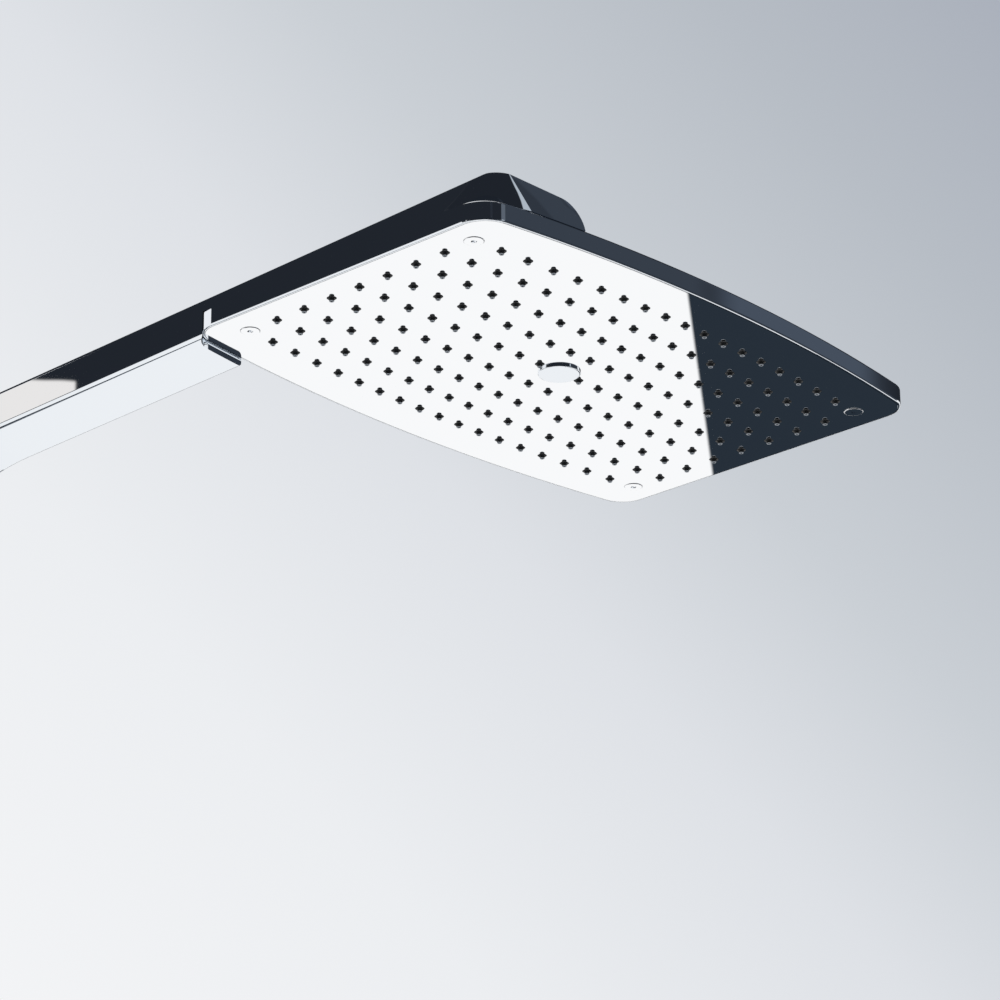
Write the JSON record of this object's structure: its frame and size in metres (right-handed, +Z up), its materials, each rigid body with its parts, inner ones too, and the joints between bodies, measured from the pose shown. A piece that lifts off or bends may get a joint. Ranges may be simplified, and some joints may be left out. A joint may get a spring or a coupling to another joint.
{
  "type": "shower panel column",
  "caption": "Wall shower column: slim panel with thermostatic and flow controls, flat-bar arm, and a thin rectangular rain head with silicone nozzles.",
  "frame": {"origin": "centre of the wall plate on the wall plane", "axes": "+Z up, -Y out into the room, +X to the right as seen from the room"},
  "size_m": [0.3558, 0.4999, 1.157],
  "materials": {
    "polished_chrome": "mirror polish",
    "mirror_face": "mirror polish",
    "stainless": "satin",
    "galvanised": "matte zinc",
    "brass": "machined",
    "copper": "drawn tube",
    "silicone": "satin",
    "seal_rubber": "matte",
    "ceramic": "lapped",
    "white_plastic": "moulded"
  },
  "bodies": {
    "column": {"column_housing": "polished_chrome", "top_cap": "polished_chrome", "bottom_cap": "polished_chrome", "arm": "polished_chrome", "head_shell": "polished_chrome", "spray_plate": "mirror_face", "centre_insert": "polished_chrome", "control_collars": "polished_chrome", "housing_screws": "stainless", "face_screws": "stainless", "head_screws": "stainless", "clamp_screws": "stainless", "bracket_screws": "stainless", "mixer_screws": "stainless", "inlet_filters": "stainless", "wall_plate": "galvanised", "arm_bracket": "galvanised", "arm_clamp": "galvanised", "arm_fitting": "brass", "riser_nuts": "brass", "mixer_body": "brass", "hot_inlet": "brass", "cold_inlet": "brass", "thermostat_cartridge": "brass", "flow_cartridge": "brass", "wax_element": "copper", "riser_pipe": "copper", "nozzle_mat": "silicone", "riser_seals": "seal_rubber", "inlet_seals": "seal_rubber", "inlet_seal": "seal_rubber", "fixed_disc": "ceramic", "flow_limiter": "white_plastic"},
    "temperature_knob": {"temperature_knob": "polished_chrome", "temperature_knob_screw": "stainless", "temperature_knob_cap": "polished_chrome", "temperature_spindle": "brass", "safety_spring": "stainless"},
    "safety_button": {"safety_button": "polished_chrome"},
    "flow_knob": {"flow_knob": "polished_chrome", "flow_knob_screw": "stainless", "flow_knob_cap": "polished_chrome", "flow_spindle": "brass", "moving_disc": "ceramic"}
  },
  "joints": [
    {"name": "temperature_turn", "type": "hinge", "parent": "column", "child": "temperature_knob", "pos_m": [0, -0.06, -0.18], "axis": [0, -1, 0], "range_deg": [-150, 60]},
    {"name": "safety_press", "type": "slide", "parent": "temperature_knob", "child": "safety_button", "axis": [0, 0, -1], "range_m": [0, 0.002], "stiffness_N_per_m": 300, "springref_m": -0.003, "deforming": ["safety_spring"]},
    {"name": "flow_turn", "type": "hinge", "parent": "column", "child": "flow_knob", "pos_m": [0, -0.06, -0.06], "axis": [0, -1, 0], "range_deg": [0, 90]}
  ]
}
